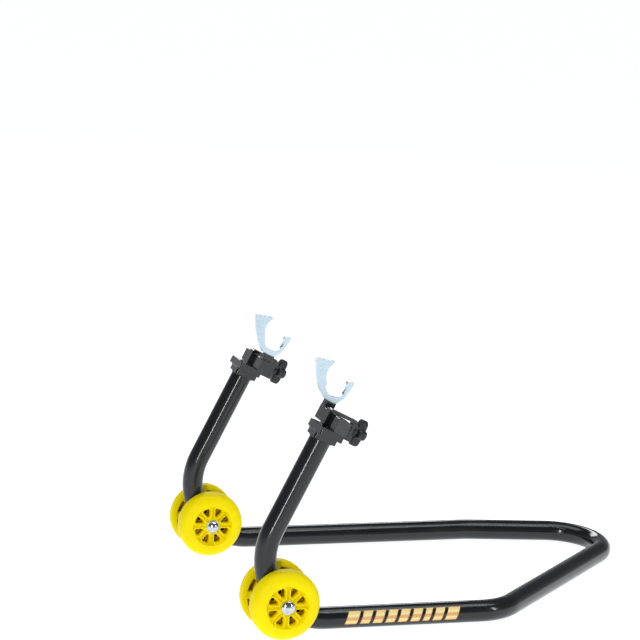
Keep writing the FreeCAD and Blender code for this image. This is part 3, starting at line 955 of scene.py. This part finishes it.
# ---------------------------------------------------------------- stripes
def rail_surface(x, s, level):
    """Point on the left rail at a height above its surface, s mm round from the stripes' middle."""
    corner_x, corner_y = CORNERS[0][0]
    middle_y = -ARM_Y + (x - JOIN_X) * (corner_y + ARM_Y) / (corner_x - JOIN_X)
    a = STRIPES_TURN + s / TUBE_R
    r = TUBE_R + level
    return (x, middle_y - r * math.cos(a), rail_height(x) + r * math.sin(a))


def stripe_patch(x0, x1, half, lift, base):
    """Thin slanted shell lying on the rail's outer side, from base to lift above its surface."""
    nx, ns = 2, 14
    places = []
    for j in range(ns + 1):
        s = half * (2 * j / ns - 1)
        places += [(x0 + (x1 - x0) * i / nx + STRIPES_SLANT * s, s) for i in range(nx + 1)]
    verts = [rail_surface(x, s, level) for level in (lift, base) for x, s in places]
    faces = []
    row = nx + 1
    size = len(places)
    for j in range(ns):
        for i in range(nx):
            a = j * row + i
            faces.append((a, a + 1, a + row + 1, a + row))
            faces.append((size + a + row, size + a + row + 1, size + a + 1, size + a))
    rim = list(range(row)) + [j * row + nx for j in range(1, ns + 1)]
    rim += [ns * row + i for i in range(nx - 1, -1, -1)] + [j * row for j in range(ns - 1, 0, -1)]
    for a, b in zip(rim, rim[1:] + rim[:1]):
        faces.append((b, a, size + a, size + b))
    return verts, faces


def build_stripes():
    # Gold print with painted reflection and shade: lighter bands low and high on the rail, a darker
    # orange band across the middle.
    gold = decal_with_painted_bands("gold_stripe", 0.0125, 0.0275, [
        (0.0, (0.78, 0.55, 0.16)), (0.28, (0.88, 0.72, 0.34)), (0.42, (0.72, 0.36, 0.11)),
        (0.60, (0.74, 0.38, 0.12)), (0.76, (0.92, 0.80, 0.44)), (1.0, (0.86, 0.68, 0.26)),
    ])
    # Orange-brown outline, darker towards the bottom of the rail as painted shade.
    edge = decal_with_painted_bands("gold_stripe_edge", 0.010, 0.030, [
        (0.0, (0.30, 0.10, 0.015)), (1.0, (0.48, 0.22, 0.04)),
    ])
    gap = (STRIPES_LENGTH - sum(STRIPE_WIDTHS)) / (len(STRIPE_WIDTHS) - 1)
    sunk = -0.3
    for label, grow, lift, mat in (("edge", 0.8, 0.10, edge), ("face", 0.0, 0.18, gold)):
        verts = []
        faces = []
        x = STRIPES_X
        for width in STRIPE_WIDTHS:
            end = x + width
            join(verts, faces, *stripe_patch(x - grow, end + grow, STRIPES_HALF + grow, lift, sunk))
            x = end + gap
        obj = mesh_object("rail_stripes_" + label, verts, faces, mat, 45.0)
        commit(obj, "frame", "frame_paint")


# ---------------------------------------------------------------- carried-over CAD nodes
def dress_nodes():
    """Material and edge rounding for the nodes that keep their own shape."""
    looks = {
        "axle_sleeve_": (SATIN, 0.3), "axle_nut_": (CHROME, 0.35), "axle_washers_": (ZINC, 0.2),
        "head_plate_": (SATIN, 0.8), "saddle_base_": (SATIN, 0.9), "clamp_strap_": (SATIN, 0.7),
        "carriage_bar_": (SATIN, 0.3), "bar_plug_": (PLUG, 0.6), "hook_post_": (SATIN, 0.5),
        "wheel_bush_left_": (BUSH, 0.25), "wheel_bush_right_": (BUSH, 0.25),
    }
    for name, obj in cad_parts.items():
        for start, (material, width) in looks.items():
            if name.startswith(start):
                obj.data.materials.clear()
                obj.data.materials.append(material)
                obj.data.shade_smooth()
                obj.data.set_sharp_from_angle(angle=math.radians(35.0))
                add_bevel(obj, width, 2, 40.0)


# ---------------------------------------------------------------- stage, lights, camera
def build_floor():
    """Pale floor, slightly self-lit so that it stays even far from the lights."""
    mesh = bpy.data.meshes.new("floor")
    half = 40.0
    corners = [(-half, -half, 0), (half, -half, 0), (half, half, 0), (-half, half, 0)]
    mesh.from_pydata(corners, [], [(0, 1, 2, 3)])
    obj = bpy.data.objects.new("floor", mesh)
    bpy.context.scene.collection.objects.link(obj)
    mat, tree, bsdf = shader("pale_floor")
    tone = noise_at(tree, 3.0, 2.0)
    greys = two_tone(tree, tone, (0.40, 0.405, 0.415), (0.42, 0.425, 0.435))
    link(tree, greys, bsdf.inputs["Base Color"])
    bsdf.inputs["Roughness"].default_value = 0.8
    bsdf.inputs["Emission Color"].default_value = (0.97, 0.985, 1.0, 1.0)
    bsdf.inputs["Emission Strength"].default_value = 0.94
    mesh.materials.append(mat)


def area_light(name, spot, target, size_x, size_y, power, colour=(1.0, 1.0, 1.0)):
    data = bpy.data.lights.new(name, "AREA")
    data.shape = "RECTANGLE"
    data.size = size_x
    data.size_y = size_y
    data.energy = power
    data.color = colour
    obj = bpy.data.objects.new(name, data)
    obj.location = spot
    aim = Vector(target) - Vector(spot)
    obj.rotation_euler = aim.to_track_quat("-Z", "Y").to_euler()
    bpy.context.scene.collection.objects.link(obj)


def build_lights():
    """Five soft panels and a plain sky that is bright at the horizon and dark above."""
    area_light("key", (-1.95, -2.75, 1.15), (-0.25, 0, 0.15), 0.16, 1.7, 33.0)
    area_light("fill", (2.4, -2.6, 1.5), (0, 0, 0.1), 0.2, 1.4, 16.0)
    area_light("top", (0.1, 0.1, 2.7), (0, 0, 0), 3.6, 1.5, 34.0)
    area_light("line", (0.1, -0.9, 2.5), (0, 0, 0), 3.4, 0.06, 8.0)
    area_light("back", (0.4, 3.2, 1.75), (0, 0, 0.1), 2.2, 0.7, 26.0)
    world = bpy.data.worlds.new("studio")
    bpy.context.scene.world = world
    world.use_nodes = True
    tree = world.node_tree
    tree.nodes.clear()
    out = tree.nodes.new("ShaderNodeOutputWorld")
    back = tree.nodes.new("ShaderNodeBackground")
    coord = tree.nodes.new("ShaderNodeTexCoord")
    parts = tree.nodes.new("ShaderNodeSeparateXYZ")
    ramp = tree.nodes.new("ShaderNodeValToRGB")
    ramp.color_ramp.elements[0].position = 0.0
    ramp.color_ramp.elements[0].color = (0.92, 0.95, 1.0, 1.0)
    ramp.color_ramp.elements[1].position = 0.42
    ramp.color_ramp.elements[1].color = (0.13, 0.14, 0.155, 1.0)
    middle = ramp.color_ramp.elements.new(0.10)
    middle.color = (0.34, 0.355, 0.38, 1.0)
    link(tree, coord.outputs["Generated"], parts.inputs["Vector"])
    link(tree, parts.outputs["Z"], ramp.inputs["Fac"])
    link(tree, ramp.outputs["Color"], back.inputs["Color"])
    link(tree, back.outputs["Background"], out.inputs["Surface"])


def build_camera():
    """Long lens, from the left front and a little above, rolled slightly."""
    azimuth, elevation, roll = 0.3311, -0.1993, 0.0633
    data = bpy.data.cameras.new("camera")
    data.sensor_width = 36.0
    data.lens = 128.43
    data.clip_end = 200.0
    obj = bpy.data.objects.new("camera", data)
    level = math.cos(elevation)
    forward = Vector((math.sin(azimuth) * level, math.cos(azimuth) * level, math.sin(elevation)))
    right = Vector((math.cos(azimuth), -math.sin(azimuth), 0.0))
    up = right.cross(forward)
    turned = right * math.cos(roll) + up * math.sin(roll)
    lifted = up * math.cos(roll) - right * math.sin(roll)
    axes = Matrix((turned, lifted, -forward)).transposed().to_4x4()
    obj.matrix_world = Matrix.Translation((-1.2624, -3.0961, 1.0687)) @ axes
    bpy.context.scene.collection.objects.link(obj)
    bpy.context.scene.camera = obj


build_tube()
build_wheels()
build_axles()
build_hooks()
build_knobs()
build_studs()
build_welds()
build_stripes()
dress_nodes()
build_floor()
build_lights()
build_camera()
bpy.context.scene.view_settings.view_transform = "Standard"
